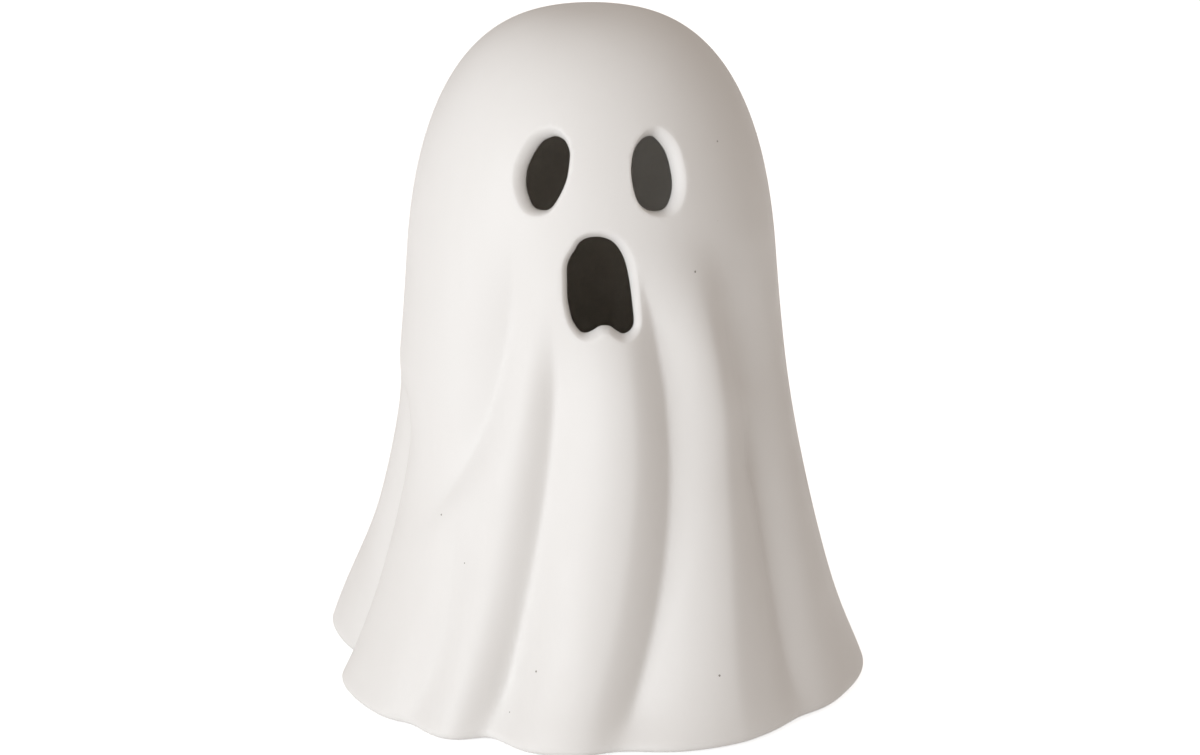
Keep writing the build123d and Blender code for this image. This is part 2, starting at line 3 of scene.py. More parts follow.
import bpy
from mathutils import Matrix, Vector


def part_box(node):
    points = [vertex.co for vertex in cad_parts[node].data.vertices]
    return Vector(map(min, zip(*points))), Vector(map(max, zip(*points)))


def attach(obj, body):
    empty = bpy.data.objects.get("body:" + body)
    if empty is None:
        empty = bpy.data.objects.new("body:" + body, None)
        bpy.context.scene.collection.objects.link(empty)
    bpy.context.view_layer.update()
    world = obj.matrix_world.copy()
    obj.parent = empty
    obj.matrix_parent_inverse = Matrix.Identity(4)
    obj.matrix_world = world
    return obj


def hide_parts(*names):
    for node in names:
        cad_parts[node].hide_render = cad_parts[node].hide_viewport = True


bl_info = {
    "name": "Ceramic ghost lantern",
    "version": (1, 0, 0),
    "blender": (4, 5, 0),
    "location": "View3D > Sidebar > Ghost",
    "description": "Dresses the packed ghost lantern and sets up its studio",
    "category": "Object",
}

from math import cos, pi, radians, sin

import bpy
import numpy as np
from bpy.props import FloatProperty, FloatVectorProperty, IntProperty, PointerProperty
from mathutils import Vector
from mathutils.geometry import delaunay_2d_cdt

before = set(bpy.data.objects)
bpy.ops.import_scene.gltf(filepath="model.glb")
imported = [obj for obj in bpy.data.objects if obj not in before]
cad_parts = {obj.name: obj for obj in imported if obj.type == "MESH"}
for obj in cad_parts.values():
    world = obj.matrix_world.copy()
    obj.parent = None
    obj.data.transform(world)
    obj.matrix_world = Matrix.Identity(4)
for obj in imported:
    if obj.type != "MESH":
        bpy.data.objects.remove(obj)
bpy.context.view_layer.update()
MM = 0.001
HEM_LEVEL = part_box("ceramic_shell")[0][2]

# Rings and samples of the meshes
HEM_RINGS = 8
ROLL_RINGS = 9
INNER_RINGS = 4
CORNER_POINTS = 4
PROFILE_SAMPLES = 4000
OUTLINE_SAMPLES = 24
OUTWARD_PASSES = 12

# Window in the walls round the face, filled with triangles that keep a gap in millimetres from the rims
WINDOW_HALF_TURN = 44.0
WINDOW_LOW = 100.0 * MM
SKIN_WINDOW_TOP = 178.0 * MM
CAVITY_WINDOW_TOP = 176.0 * MM
SKIN_RIM_GAP = 0.6
CAVITY_RIM_GAP = 1.0
SAME_POINT = 1e-6

# Width of the flat rings beside the recess and the bore
FLAT_RING = 6.0 * MM

# Felt pad: shares of its radius and thickness from below round the edge to the top, and its ragged edge
FELT_PROFILE = (
    (0.35, 0.0), (0.8, 0.0), (0.95, 0.04), (1.0, 0.2), (1.0, 0.8), (0.95, 0.96), (0.8, 1.0), (0.35, 1.0),
)
FELT_COLUMNS = 64
FELT_RAGGED = 0.012
FELT_LONG_WAVES = 7
FELT_SHORT_WAVES = 17
FELT_SHIFT = 900.0

# Silicone ring: thickness, clearance on the cup, ribs and rounding towards its edges
RING_THICK = 2.7 * MM
RING_FIT = 0.05 * MM
RING_COLUMNS = 144
RING_LEVELS = 25
RIB_COUNT = 3
RIB_DEPTH = 0.45 * MM
RING_ROUND = 0.3 * MM
RING_ROUND_POWER = 8

# Share of a cell's length that is bare steel at each end
BARE_END = 0.045

# Usual range of a noise, and the stops between which two shades drift
NOISE_LOW, NOISE_HIGH = 0.3, 0.7
DRIFT_LOW, DRIFT_HIGH = 0.35, 0.65
WHITE = (1.0, 1.0, 1.0, 1.0)
BLACK = (0.0, 0.0, 0.0, 1.0)

# Photo: its width and the shift of its middle to the right and up from the aim, in pixels
PHOTO_WIDTH = 1200
PHOTO_SHIFT_RIGHT = 3.5
PHOTO_SHIFT_UP = -35.0
SENSOR_WIDTH = 36.0
FLOOR_REACH = 4.0

# Lobes of the hem: azimuth in degrees, then reach, half width and height in millimetres
HEM_LOBES = (
    (-119.5, 11.3, 16.0, 41.0),
    (83.0, 1.8, 17.5, 16.0),
    (147.5, 1.5, 18.0, 20.0),
)

# Folds of the skirt, each with the azimuths of its valley at the four stations, the shares of the skirt's
# height where it starts and ends, its depth above the hem and at it, its half widths to the left and right
# in millimetres, and its form: 2 is soft, 1 a crease. A fold with a negative depth is a ridge.
FOLD_STATIONS = (0.0, 0.25, 0.53, 0.85)
SOFT_VALLEY = 2.0
LEFT_FOLDS = (
    ((-93.5, -85.5, -84.0, -86.0), 0.0, 0.66, 7.6, 7.6, 11.0, 12.0, 1.75),
    ((-100.0, -66.0, -41.5, -28.5), 0.32, 1.0, 5.5, 5.5, 11.0, 9.0, 1.3),
    ((-48.0, -42.0, -44.0, -46.0), 0.0, 0.45, 2.4, 3.4, 6.0, 8.0, 1.6),
    ((-28.5, -22.0, -16.0, -15.0), 0.0, 0.86, 6.2, 12.0, 6.2, 11.0, 1.45),
)
MOUTH_FOLDS = (
    ((-6.0, 2.5, 9.0, 6.0), 0.0, 0.90, -1.0, -0.8, 14.0, 6.0, 1.5),
    ((2.8, 14.2, 22.0, 15.0), 0.0, 0.97, 8.2, 8.6, 9.0, 12.0, 1.2),
)
RIGHT_FOLDS = (
    ((29.0, 32.5, 38.0, 33.0), 0.0, 0.95, -1.6, -1.4, 18.0, 7.0, 1.5),
    ((48.6, 53.0, 57.0, 51.5), 0.0, 0.62, 7.8, 4.6, 11.5, 9.0, 1.35),
    ((48.6, 53.0, 57.0, 48.0), 0.4, 1.0, 6.8, 6.8, 10.5, 15.0, 2.0),
)
BACK_FOLDS = (
    ((109.5, 105.0, 112.5, 102.0), 0.0, 0.70, 5.0, 5.0, 10.5, 9.0, 1.6),
    ((143.5, 147.5, 147.5, 143.5), 0.0, 0.93, 5.5, 5.5, 10.0, 9.0, 1.6),
    ((180.5, 175.5, 169.5, 171.5), 0.0, 0.89, 6.0, 6.0, 10.0, 10.0, 1.6),
    ((214.5, 213.5, 218.5, 216.5), 0.0, 0.94, 5.5, 5.5, 10.0, 9.0, 1.6),
)
SKIRT_FOLDS = LEFT_FOLDS + MOUTH_FOLDS + RIGHT_FOLDS + BACK_FOLDS

# Knife-cut openings of the face: points to the right and up from each middle, in millimetres
LEFT_EYE = (
    (1.4, 9.3), (3.7, 8.3), (5.3, 5.8), (5.6, 3.2), (5.2, -1.5), (3.5, -5.9), (1.3, -9.0), (-1.2, -9.6),
    (-3.2, -9.1), (-4.5, -7.6), (-6.0, -4.0), (-6.2, -0.6), (-5.8, 1.7), (-4.2, 5.3), (-2.4, 7.8),
    (-0.5, 8.9),
)
RIGHT_EYE = (
    (-1.7, 8.7), (0.3, 9.5), (2.4, 9.0), (5.0, 5.2), (6.0, -0.4), (5.8, -4.3), (4.7, -7.2), (3.4, -8.9),
    (1.7, -9.6), (-0.6, -9.5), (-2.7, -8.8), (-4.7, -6.9), (-5.7, -3.6), (-5.9, 0.2), (-5.5, 2.8),
    (-4.7, 5.2), (-3.6, 7.0),
)
MOUTH = (
    (-2.0, 13.3), (0.6, 13.2), (3.2, 12.1), (5.1, 10.0), (6.8, 6.5), (8.2, 0.8), (9.2, -5.7), (9.6, -10.4),
    (8.5, -12.3), (6.3, -13.1), (4.3, -12.1), (2.6, -10.8), (0.7, -10.5), (-0.6, -10.8), (-2.4, -11.9),
    (-4.1, -12.5), (-5.6, -12.1), (-7.0, -10.4), (-8.0, -8.2), (-8.8, -3.7), (-8.9, 0.9), (-8.8, 5.3),
    (-8.0, 7.8), (-6.7, 9.8), (-5.6, 11.7), (-3.8, 12.9),
)


def number(name, description, value, **limits):
    """A plain number for the panel."""
    return FloatProperty(name=name, description=description, default=value, **limits)


def length(name, description, millimetres):
    """A size for the panel, given in millimetres."""
    return number(name, description, millimetres * MM, unit="LENGTH", precision=4)


def rotation(name, description, degrees):
    """An angle for the panel, given in degrees."""
    return number(name, description, radians(degrees), unit="ROTATION")


def colour(name, description, rgb):
    """A colour for the panel."""
    return FloatVectorProperty(
        name=name, description=description, default=rgb, subtype="COLOR", size=3, min=0.0, max=1.0
    )


class GhostShape(bpy.types.PropertyGroup):
    """Sizes of the cast body."""

    height: length("Height", "From the hem to the crown", 190.0)
    head_radius: length("Head radius", "Radius of the head before the folds", 52.1)
    dome_rise: length("Dome rise", "From where the head starts to close up to the crown", 98.0)
    dome_power: number("Dome squareness", "2 is round, more is squarer", 2.7)
    face_drop: length("Face drop", "From the crown down to the top of the skirt", 48.0)
    flare: length("Flare", "How far the hem spreads past the head", 23.3)
    flare_drop: length("Flare drop", "From the crown down to where the flare starts", 68.0)
    flare_power: number("Flare curve", "How late the flare opens", 1.75)
    lean: length("Lean", "Sideways shift of the head", -1.5)
    wall: length("Wall", "Thickness of the cast wall", 4.5)
    floor: length("Floor", "Thickness of the floor of the cavity", 7.0)
    hem_round: length("Hem round", "Radius of the hem's lower edge", 3.0)
    hem_band: length("Hem band", "How far up from the hem the folds have their hem depth", 32.0)
    hem_rim: length("Hem rim", "How far up from the hem the creases are rounded off", 9.0)
    hem_fill: number("Hem fill", "How much a crease flattens out at the hem", 0.75)
    fold_fade: number("Fold fade", "How fast a fold gains its depth", 3.7)
    bore_radius: length("Bore radius", "Hole in the floor for the light unit", 36.18)
    recess_radius: length("Recess radius", "Step in the floor for the unit's flange", 43.5)
    recess_depth: length("Recess depth", "Depth of that step above the hem", 3.2)
    base_chamfer: length("Base chamfer", "Broken edge round the recess", 0.8)
    edge_soft: length("Edge softness", "Rounding of the fired edges under the floor", 0.4)
    columns: IntProperty(
        name="Columns", description="Columns of the mesh round the body", default=360, min=90
    )
    row_step: length("Row step", "Spacing of the rows on the skin", 1.1)
    cavity_step: length("Cavity step", "Spacing of the rows in the cavity", 3.0)


class FaceShape(bpy.types.PropertyGroup):
    """Places and rims of the openings of the face."""

    left_eye_azimuth: rotation("Left eye turn", "Angle from the front", -17.7)
    left_eye_drop: length("Left eye drop", "From the crown down to the eye's middle", 36.2)
    right_eye_azimuth: rotation("Right eye turn", "Angle from the front", 19.3)
    right_eye_drop: length("Right eye drop", "From the crown down to the eye's middle", 36.8)
    mouth_azimuth: rotation("Mouth turn", "Angle from the front", 0.7)
    mouth_drop: length("Mouth drop", "From the crown down to the mouth's middle", 66.4)
    eye_roll: length("Eye roll", "Depth over which the skin rolls into an eye", 3.75)
    eye_reach: length("Eye reach", "Width over which the skin rolls into an eye", 2.05)
    mouth_roll: length("Mouth roll", "Depth over which the skin rolls into the mouth", 3.2)
    mouth_reach: length("Mouth reach", "Width over which the skin rolls into the mouth", 2.1)
    roll_form: number("Roll form", "2 is a round roll, 1 a flat bevel", 1.4, min=1.0)
    eye_side: number("Eye side", "How much wider an eye's roll is towards the temple", 0.5)
    mouth_side: number("Mouth side", "How much wider the mouth's roll is on its right", 0.1)
    inner_roll: length("Inner roll", "Rounding of the openings inside", 0.7)
    draft: length("Draft", "How much wider an opening is inside than at its throat", 0.8)
    ring_step: length("Ring step", "Spacing of the points round an opening", 0.7)


class CeramicFinish(bpy.types.PropertyGroup):
    """Colours and grain of the fired body."""

    glaze: colour("Glaze", "White of the outside", (0.825, 0.82, 0.81))
    glaze_shade: colour("Glaze shade", "White where the glaze lies thinner", (0.80, 0.792, 0.778))
    bisque: colour("Bisque", "Bare fired body inside", (0.86, 0.825, 0.77))
    bisque_shade: colour("Bisque shade", "Darker clouds of the bare body", (0.80, 0.76, 0.70))
    speck: colour("Specks", "Iron specks in the body", (0.30, 0.28, 0.26))
    speck_cells: number("Speck cells", "Cells to a metre, of which a few hold a speck", 160.0)
    speck_radius: number("Speck radius", "Size of a speck as a share of its cell", 0.05)
    speck_rarity: number("Speck rarity", "Share of the cells without a speck", 0.85)
    roughness: number("Roughness", "Satin sheen of the glaze", 0.5, min=0.0, max=1.0)


class FittingFinish(bpy.types.PropertyGroup):
    """Colours of the base fittings and the light unit."""

    felt: colour("Felt", "Pads under the floor", (0.50, 0.48, 0.44))
    silicone: colour("Silicone", "Ring that grips the bore", (0.74, 0.73, 0.70))
    plastic: colour("Plastic", "Cup, cover and door", (0.80, 0.79, 0.75))
    frosted: colour("Frosted dome", "Dome over the lamp", (0.88, 0.86, 0.80))
    sleeve: colour("Cell sleeve", "Printed film round a cell, left plain", (0.045, 0.048, 0.055))
    metal: colour("Metal", "Contacts, leads and screws", (0.62, 0.61, 0.58))
    board: colour("Board", "Solder mask of the circuit board", (0.025, 0.17, 0.075))
    resin: colour("Resin", "Chip and resistors", (0.022, 0.022, 0.026))
    lamp: colour("Lamp", "Resin of the lamp", (0.92, 0.78, 0.42))
    knob: colour("Knob", "Slide of the switch", (0.035, 0.035, 0.04))
    wire: colour("Wire", "Insulation of the switch wires", (0.48, 0.03, 0.025))


class StudioSetup(bpy.types.PropertyGroup):
    """Floor, light and camera."""

    ground: colour("Ground", "Floor and background", (0.90, 0.90, 0.90))
    room: colour("Room light", "Soft light from all round", (0.475, 0.425, 0.385))
    key: number("Key light", "Power of the large soft light", 13.1, unit="POWER", min=0.0)
    key_tint: colour("Key tint", "Colour of the large soft light", (0.93, 0.965, 1.0))
    key_azimuth: rotation("Key turn", "Angle round the object", -40.5)
    key_elevation: rotation("Key height", "Angle above the horizon", 13.0)
    key_distance: length("Key distance", "From the soft light to the object", 1450.0)
    key_width: length("Key width", "Width of the soft light", 1300.0)
    key_tall: length("Key tall", "Height of the soft light", 600.0)
    ground_glow: number("Ground glow", "Lifts the floor to white for the camera", 0.72, min=0.0)
    target_height: length("Aim height", "Point that the camera aims at", 96.0)
    distance: length("Distance", "From the camera to its aim", 1000.0)
    azimuth: rotation("Camera turn", "Angle round the object", -2.5)
    elevation: rotation("Camera height", "Angle above the horizon", 15.3)
    lens: number("Lens", "Focal length on a 36 mm sensor", 107.1, unit="CAMERA")


# Form of the cast body

def ease(share):
    """A smooth step from 0 to 1."""
    share = np.clip(share, 0.0, 1.0)
    return share * share * (3.0 - 2.0 * share)


def turn(azimuth, other):
    """Degrees from one azimuth to another, the short way round."""
    return (azimuth - other + 180.0) % 360.0 - 180.0


def skirt_height(shape):
    return shape.height - shape.face_drop


def valley_azimuth(shape, azimuths, height):
    """Azimuth of a fold's valley, on a cubic through its four stations."""
    share = np.minimum(height / skirt_height(shape), 1.0)
    total = np.zeros_like(share)
    for i, azimuth in enumerate(azimuths):
        weight = np.ones_like(share)
        for j, station in enumerate(FOLD_STATIONS):
            if j != i:
                weight = weight * (share - station) / (FOLD_STATIONS[i] - station)
        total += azimuth * weight
    return total


def round_radius(shape, height, inset=0.0):
    """Radius before the folds: a squarish dome that flares into a skirt."""
    up = np.clip((height - shape.height + shape.dome_rise) / (shape.dome_rise - inset), 0.0, 1.0)
    dome = (shape.head_radius - inset) * (1.0 - up ** shape.dome_power) ** (1.0 / shape.dome_power)
    drop = np.clip(1.0 - height / (shape.height - shape.flare_drop), 0.0, None)
    return dome + shape.flare * drop ** shape.flare_power


def skin_radius(shape, azimuth, height, inset=0.0):
    """Radius of the skin, or of the cavity wall when inset by the wall."""
    plain = round_radius(shape, height, inset)
    radius = plain.copy()
    for lobe_azimuth, reach, half_width, lobe_height in HEM_LOBES:
        arc = np.radians(turn(azimuth, lobe_azimuth)) * plain / (half_width * MM)
        radius += reach * MM * np.exp(-arc ** 2 - (height / (lobe_height * MM)) ** 2)
    low = np.exp(-(height / shape.hem_band) ** 2)
    rim = np.exp(-(height / shape.hem_rim) ** 2)
    for azimuths, start, end, depth, hem_depth, left, right, form in SKIRT_FOLDS:
        top = end * skirt_height(shape)
        grown = ease(np.maximum((top - height) / top, 0.0) * shape.fold_fade)
        if start:
            grown = grown * ease((height / skirt_height(shape) - start) * shape.fold_fade)
        arc = np.radians(turn(azimuth, valley_azimuth(shape, azimuths, height))) * plain
        across = np.abs(arc) / (np.where(arc < 0, left, right) * MM)
        flatter = (SOFT_VALLEY - form) * rim
        valley = np.exp(-across ** (form + flatter)) * (1.0 - shape.hem_fill * flatter)
        radius -= (depth + (hem_depth - depth) * low) * MM * grown * valley
    return radius


def skin_points(shape, azimuth, height, inset=0.0, draw_in=0.0):
    """Points of the skin at azimuths in degrees and heights above the hem."""
    azimuth, height = np.broadcast_arrays(np.asarray(azimuth, float), np.asarray(height, float))
    radius = skin_radius(shape, azimuth, height, inset) - draw_in
    turned = np.radians(azimuth)
    x = shape.lean * ease(height / skirt_height(shape)) + radius * np.sin(turned)
    return np.stack([x, -radius * np.cos(turned), HEM_LEVEL + height], axis=-1)


def skin_normals(shape, azimuth, height):
    """Outward directions of the skin."""
    turn_step, rise_step = 0.3, 0.3 * MM
    along = skin_points(shape, azimuth + turn_step, height) - skin_points(shape, azimuth - turn_step, height)
    up = skin_points(shape, azimuth, height + rise_step) - skin_points(shape, azimuth, height - rise_step)
    normal = np.cross(along, up)
    return normal / np.linalg.norm(normal, axis=-1, keepdims=True)


def profile_rows(shape, inset, low, step):
    """Heights from low to the crown at even steps along the plain profile, and the run up to each."""
    crowded = low + (shape.height - inset - low) * np.sin(np.linspace(0.0, pi / 2, PROFILE_SAMPLES))
    radius = round_radius(shape, crowded, inset)
    run = np.concatenate([[0.0], np.cumsum(np.hypot(np.diff(radius), np.diff(crowded)))])
    even = np.linspace(0.0, run[-1], int(round(run[-1] / step)) + 1)
    return np.interp(even, run, crowded), even


class MeshParts:
    """Points and faces gathered for one mesh."""

    def __init__(self):
        self.points = []
        self.faces = []
        self.inside = []

    def add(self, points):
        first = len(self.points)
        self.points.extend(map(tuple, points))
        return np.arange(first, len(self.points))

    def face(self, corners, inside=False):
        self.faces.append(tuple(int(corner) for corner in corners))
        self.inside.append(inside)

    def band(self, upper, lower, inside=False, skip=None):
        """Quads between two closed rings, apart from the columns to skip."""
        count = len(upper)
        for j in range(count):
            if skip is None or not skip[j]:
                k = (j + 1) % count
                self.face((lower[j], lower[k], upper[k], upper[j]), inside)

    def tube(self, rings, outer=None):
        """Bands between rings that follow one another; those after the outer ones lie inside."""
        for k, (lower, upper) in enumerate(zip(rings, rings[1:])):
            self.band(upper, lower, inside=outer is not None and k >= outer)

    def fan(self, ring, pole, inside=False):
        """Triangles from a closed ring to one point."""
        for j in range(len(ring)):
            corners = (ring[j], ring[(j + 1) % len(ring)], pole)
            self.face(corners[::-1] if inside else corners, inside)

    def build(self, name):
        mesh = bpy.data.meshes.new(name)
        mesh.from_pydata(self.points, [], self.faces)
        mesh.validate()
        mesh.update()
        mesh.polygons.foreach_set("use_smooth", [True] * len(mesh.polygons))
        return mesh


def level_ring(reach, height, turned, middle=(0.0, 0.0)):
    """Points at one height round a middle, at the given angles from the front."""
    x = middle[0] + reach * np.sin(turned)
    y = middle[1] - reach * np.cos(turned)
    return np.stack([x, y, np.full_like(turned, height)], axis=-1)


def put(name, data):
    """A new object in the scene."""
    item = bpy.data.objects.new(name, data)
    bpy.context.scene.collection.objects.link(item)
    return item


def place(mesh, body, *nodes, slot):
    """Puts a mesh in the scene, on its body and in place of its CAD nodes."""
    piece = put(mesh.name, mesh)
    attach(piece, body)
    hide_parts(*nodes)
    return piece


# Openings of the face

def smooth_outline(points, step):
    """Even points on a smooth closed line through the given ones, and their outward directions."""
    corners = np.array(points) * MM
    area = np.sum(corners[:, 0] * np.roll(corners[:, 1], -1) - corners[:, 1] * np.roll(corners[:, 0], -1))
    if area < 0:
        corners = corners[::-1]
    share = np.linspace(0.0, 1.0, OUTLINE_SAMPLES, endpoint=False)[:, None]
    line = []
    for i in range(len(corners)):
        before, start, end, after = (corners[(i + k) % len(corners)] for k in (-1, 0, 1, 2))
        leave, arrive = (end - before) / 2, (after - start) / 2
        line.append(
            (2 * share ** 3 - 3 * share ** 2 + 1) * start
            + (share ** 3 - 2 * share ** 2 + share) * leave
            + (3 * share ** 2 - 2 * share ** 3) * end
            + (share ** 3 - share ** 2) * arrive
        )
    line = np.concatenate(line)
    closed = np.concatenate([line, line[:1]])
    run = np.concatenate([[0.0], np.cumsum(np.linalg.norm(np.diff(closed, axis=0), axis=1))])
    even = np.linspace(0.0, run[-1], int(run[-1] / step), endpoint=False)
    outline = np.stack([np.interp(even, run, closed[:, k]) for k in (0, 1)], axis=-1)
    along = np.roll(outline, -1, axis=0) - np.roll(outline, 1, axis=0)
    outward = np.stack([along[:, 1], -along[:, 0]], axis=-1)
    for _ in range(OUTWARD_PASSES):
        outward = np.roll(outward, 1, axis=0) + 2 * outward + np.roll(outward, -1, axis=0)
        outward /= np.linalg.norm(outward, axis=1, keepdims=True)
    return outline, outward


class Opening:
    """One eye or the mouth: its outline on the skin and its rolled rim."""

    def __init__(self, shape, face, points, azimuth, drop, roll, reach, side):
        self.shape = shape
        self.face = face
        self.outline, self.outward = smooth_outline(points, face.ring_step)
        self.reach = reach * (1.0 + side * self.outward[:, 0])
        self.azimuth = np.degrees(azimuth)
        self.height = shape.height - drop
        self.roll = roll
        self.axis = skin_normals(shape, np.array([self.azimuth]), np.array([self.height]))[0]

    def on_skin(self, offset):
        """Azimuths and heights of the outline moved outwards by an offset."""
        moved = self.outline + self.outward * np.reshape(offset, (-1, 1))
        height = self.height + moved[:, 1]
        radius = round_radius(self.shape, height)
        return self.azimuth + np.degrees(np.arcsin(moved[:, 0] / radius)), height

    def ring(self, offset, depth, square=1.0):
        """Points at an offset from the outline and a depth under the skin.

        The depth goes along the skin's own direction where square is 0, and along the cut where it is 1.
        """
        azimuth, height = self.on_skin(offset)
        outward = skin_normals(self.shape, azimuth, height) * (1 - square) + self.axis * square
        outward /= np.linalg.norm(outward, axis=-1, keepdims=True)
        return skin_points(self.shape, azimuth, height) - depth * outward

    def rim_rings(self):
        """Rings from the skin round the rolled edge, along the cut and out on the cavity wall."""
        face = self.face
        power = 2 / face.roll_form
        rings = []
        for angle in np.linspace(0.0, pi / 2, ROLL_RINGS):
            offset = self.reach * (1 - sin(angle) ** power)
            depth = self.roll * (1 - cos(angle) ** power)
            rings.append(self.ring(offset, depth, angle * 2 / pi))
        straight = self.shape.wall - face.inner_roll
        rings.append(self.ring(face.draft / 2, (self.roll + straight) / 2))
        for angle in np.linspace(0.0, pi / 2, INNER_RINGS):
            offset = face.draft + face.inner_roll * (1 - cos(angle))
            rings.append(self.ring(offset, straight + face.inner_roll * sin(angle)))
        return rings


def inside_loop(points, loop):
    """Which points lie inside a closed loop in the plane."""
    x, y = points[:, 0:1], points[:, 1:2]
    x0, y0 = loop[:, 0], loop[:, 1]
    x1, y1 = np.roll(x0, -1), np.roll(y0, -1)
    spans = (y0 > y) != (y1 > y)
    rise = np.where(y1 == y0, 1.0, y1 - y0)
    crossings = spans & (x < (x1 - x0) * (y - y0) / rise + x0)
    return crossings.sum(axis=1) % 2 == 1


def spaced_from(points, loop, gap):
    """Which points lie at least a gap from every point of a loop."""
    apart = np.linalg.norm(points[:, None, :] - loop[None, :, :], axis=2)
    return apart.min(axis=1) > gap


class Wall:
    """Rows of points on the skin or on the wall of the cavity, with a window for the face."""

    def __init__(self, parts, shape, azimuths, inset, low, step):
        self.parts = parts
        self.azimuths = azimuths
        self.inside = inset > 0.0
        self.scale = radians(1.0) * shape.head_radius / MM
        self.heights, self.runs = profile_rows(shape, inset, low, step)
        self.grid = [parts.add(skin_points(shape, azimuths, height, inset)) for height in self.heights[:-1]]
        self.crown = parts.add([(shape.lean, 0.0, HEM_LEVEL + shape.height - inset)])[0]

    def build(self, rims, window_top, gap):
        """Faces of the wall, with the window filled round the rims of the openings."""
        levels = self.heights[:-1]
        cols = np.where(np.abs(self.azimuths) <= WINDOW_HALF_TURN)[0]
        rows = np.where((levels >= WINDOW_LOW) & (levels <= window_top))[0]
        self.bands(rows, cols)
        self.fill(rows, cols, rims, gap)

    def bands(self, rows, cols):
        """Quads of the wall, apart from the window."""
        window = [cols[0] <= j < cols[-1] for j in range(len(self.azimuths))]
        for i in range(len(self.grid) - 1):
            lower, upper = self.grid[i:i + 2]
            if self.inside:
                lower, upper = upper, lower
            self.parts.band(upper, lower, self.inside, window if rows[0] <= i < rows[-1] else None)

    def fill(self, rows, cols, rims, gap):
        """Triangles between the window's edge and the rims of the openings."""
        places = [(r, c) for r in rows for c in cols]
        flat = np.array([(self.azimuths[c] * self.scale, self.runs[r] / MM) for r, c in places])
        ids = np.array([self.grid[r][c] for r, c in places])
        edge = np.array([r in (rows[0], rows[-1]) or c in (cols[0], cols[-1]) for r, c in places])
        keep = np.ones(len(flat), bool)
        loops = []
        for corner_ids, azimuth, height in rims:
            loop = np.stack([azimuth * self.scale, np.interp(height, self.heights, self.runs) / MM], axis=-1)
            keep &= edge | (~inside_loop(flat, loop) & spaced_from(flat, loop, gap))
            loops.append((loop, corner_ids))
        plane_points = [Vector(point) for point in flat[keep]]
        plane_ids = list(ids[keep])
        fixed = []
        for loop, corner_ids in loops:
            start = len(plane_points)
            plane_points += [Vector(point) for point in loop]
            plane_ids += list(corner_ids)
            fixed += [(start + k, start + (k + 1) % len(loop)) for k in range(len(loop))]
        filled = delaunay_2d_cdt(plane_points, fixed, [], 0, SAME_POINT)
        new_points, triangles, origins = np.array(filled[0]), filled[2], filled[3]
        middles = np.array([np.mean(new_points[list(triangle)], axis=0) for triangle in triangles])
        outside = np.ones(len(triangles), bool)
        for loop, corner_ids in loops:
            outside &= ~inside_loop(middles, loop)
        for triangle, wanted in zip(triangles, outside):
            if wanted:
                corners = [plane_ids[origins[k][0]] for k in triangle]
                self.parts.face(corners[::-1] if self.inside else corners, self.inside)


# Rings of the underside and the fired shell

def soft_corner(before, corner, after, radius):
    """Points that round a corner of a turned profile."""
    before, corner, after = (np.array(point, float) for point in (before, corner, after))
    start = corner + (before - corner) / np.linalg.norm(before - corner) * radius
    end = corner + (after - corner) / np.linalg.norm(after - corner) * radius
    share = np.linspace(0.0, 1.0, CORNER_POINTS)[:, None]
    return (1 - share) ** 2 * start + 2 * share * (1 - share) * corner + share ** 2 * end


def underside_profile(shape):
    """Radius and height of the recess and the bore, from the hem inwards and up to the cavity floor."""
    recess_top = HEM_LEVEL + shape.recess_depth
    floor_top = HEM_LEVEL + shape.floor
    corners = [
        (shape.recess_radius + FLAT_RING, HEM_LEVEL),
        (shape.recess_radius + shape.base_chamfer, HEM_LEVEL),
        (shape.recess_radius, HEM_LEVEL + shape.base_chamfer),
        (shape.recess_radius, recess_top),
        (shape.bore_radius, recess_top),
        (shape.bore_radius, floor_top),
        (shape.bore_radius + FLAT_RING, floor_top),
    ]
    profile = [np.array([corners[0]])]
    for i in range(1, len(corners) - 1):
        profile.append(soft_corner(corners[i - 1], corners[i], corners[i + 1], shape.edge_soft))
    profile.append(np.array([corners[-1]]))
    return np.concatenate(profile)


def face_openings(shape, face):
    """The two eyes and the mouth."""
    eye = (face.eye_roll, face.eye_reach)
    mouth = (face.mouth_roll, face.mouth_reach, face.mouth_side)
    return (
        Opening(shape, face, LEFT_EYE, face.left_eye_azimuth, face.left_eye_drop, *eye, -face.eye_side),
        Opening(shape, face, RIGHT_EYE, face.right_eye_azimuth, face.right_eye_drop, *eye, face.eye_side),
        Opening(shape, face, MOUTH, face.mouth_azimuth, face.mouth_drop, *mouth),
    )


